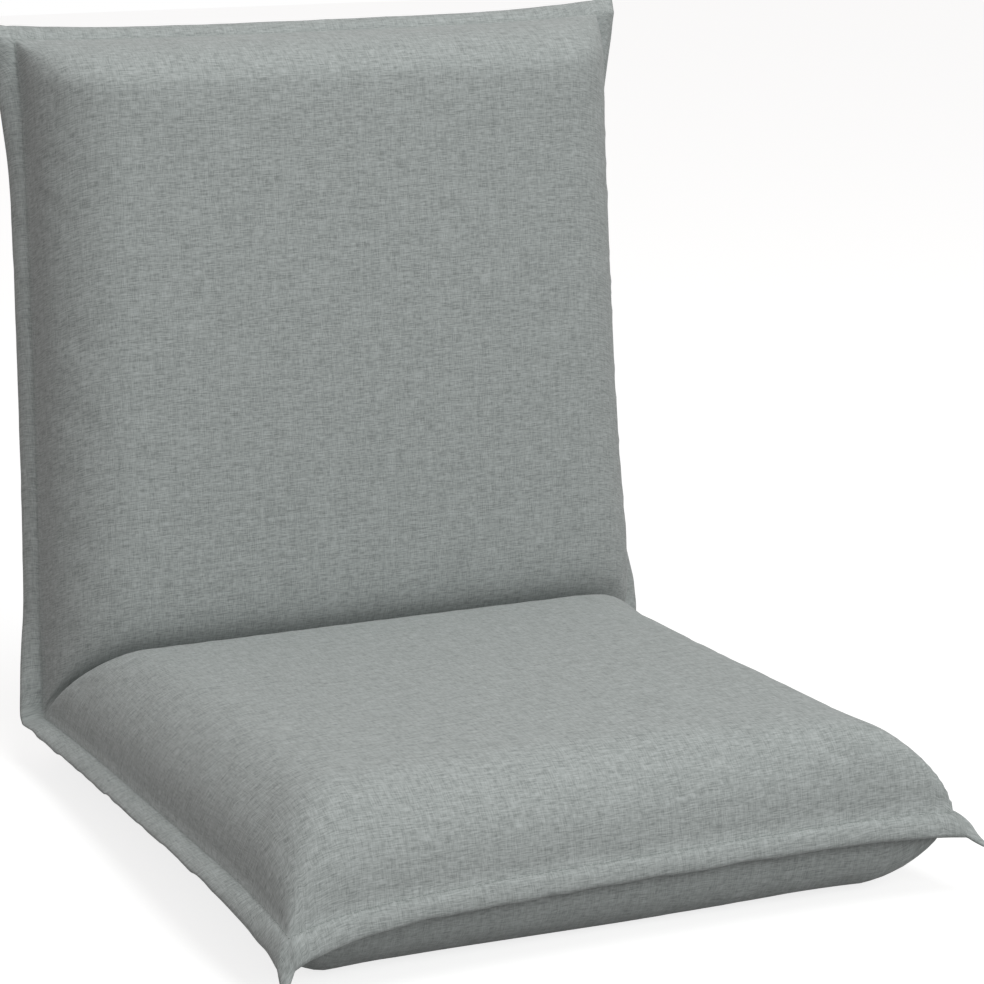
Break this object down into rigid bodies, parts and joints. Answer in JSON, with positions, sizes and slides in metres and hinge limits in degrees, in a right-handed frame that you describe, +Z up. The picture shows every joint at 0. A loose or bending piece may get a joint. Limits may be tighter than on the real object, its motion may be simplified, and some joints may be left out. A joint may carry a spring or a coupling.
{
  "type": "folding floor chair",
  "caption": "Low folding floor chair with no legs: a cloth covered seat pad and back pad on bent tube frames, joined by ratchet hinges that recline, lie flat and fold shut.",
  "frame": {"origin": "middle of the outline on the surface that the seat rests on", "axes": "+X to the sitter's left across the seat, +Y towards the back, +Z up; the chair faces -Y"},
  "size_m": [0.5064, 0.5739, 0.5496],
  "materials": {
    "cover": "plain woven polyester, light green grey",
    "foam": "cut polyurethane foam",
    "frame": "black powder coat",
    "zinc": "bright zinc plate",
    "webbing": "woven elastic",
    "zip_cloth": "woven zip tape",
    "zip_coil": "moulded nylon coil",
    "zip_metal": "nickel plate"
  },
  "bodies": {
    "seat": {"fold_sleeve": "cover", "hinge_seat_arm_left": "zinc", "hinge_seat_arm_right": "zinc", "inner_pivot_washer_left": "zinc", "inner_pivot_washer_right": "zinc", "outer_pivot_washer_left": "zinc", "outer_pivot_washer_right": "zinc", "pivot_rivet_left": "zinc", "pivot_rivet_right": "zinc", "ratchet_plate_left": "zinc", "ratchet_plate_right": "zinc", "ratchet_rivet_1_left": "zinc", "ratchet_rivet_1_right": "zinc", "ratchet_rivet_2_left": "zinc", "ratchet_rivet_2_right": "zinc", "seat_cross_tube": "frame", "seat_face_panel": "cover", "seat_foam_lower": "foam", "seat_foam_upper": "foam", "seat_frame_tube": "frame", "seat_strap_1": "webbing", "seat_strap_2": "webbing", "seat_strap_3": "webbing", "seat_tube_rivet_left": "zinc", "seat_tube_rivet_right": "zinc", "seat_underside_panel": "cover"},
    "back": {"back_cross_tube": "frame", "back_face_panel": "cover", "back_foam_front": "foam", "back_foam_rear": "foam", "back_frame_tube": "frame", "back_rear_panel": "cover", "back_strap_1": "webbing", "back_strap_2": "webbing", "back_strap_3": "webbing", "back_tube_rivet_left": "zinc", "back_tube_rivet_right": "zinc", "hinge_back_arm_left": "zinc", "hinge_back_arm_right": "zinc", "pawl_pin_left": "zinc", "pawl_pin_right": "zinc", "pawl_spring_left": "zinc", "pawl_spring_right": "zinc", "zip_coil": "zip_coil", "zip_stop_left": "zip_metal", "zip_stop_right": "zip_metal", "zip_tape_lower": "zip_cloth", "zip_tape_upper": "zip_cloth"},
    "pawl_left": {"pawl_left": "zinc"},
    "pawl_right": {"pawl_right": "zinc"},
    "zip_slider": {"zip_slider": "zip_metal"},
    "zip_pull": {"zip_pull": "zip_metal"}
  },
  "joints": [
    {"name": "back_fold", "type": "hinge", "parent": "seat", "child": "back", "pos_m": [0, 0.22022, 0.036], "axis": [1, 0, 0], "range_deg": [-86.3, 49.31], "deforming": ["seat_face_panel", "back_face_panel", "seat_foam_upper", "back_foam_front", "fold_sleeve"]},
    {"name": "pawl_left_drop", "type": "hinge", "parent": "back", "child": "pawl_left", "pos_m": [0.19, 0.22257, 0.06461], "axis": [-1, 0, 0], "range_deg": [0, 9], "stiffness_Nm_per_rad": 0.05},
    {"name": "pawl_right_drop", "type": "hinge", "parent": "back", "child": "pawl_right", "pos_m": [-0.19, 0.22257, 0.06461], "axis": [-1, 0, 0], "range_deg": [0, 9], "stiffness_Nm_per_rad": 0.05},
    {"name": "zip_slide", "type": "slide", "parent": "back", "child": "zip_slider", "axis": [-1, 0, 0], "range_m": [0, 0.285]},
    {"name": "zip_pull_swing", "type": "hinge", "parent": "zip_slider", "child": "zip_pull", "pos_m": [0.1437, 0.25877, 0.09163], "axis": [0, -0.0645, -0.9979], "range_deg": [0, 165]}
  ],
  "couplings": [
    {"joint": "pawl_right_drop", "follows": "pawl_left_drop", "ratio": 1}
  ]
}
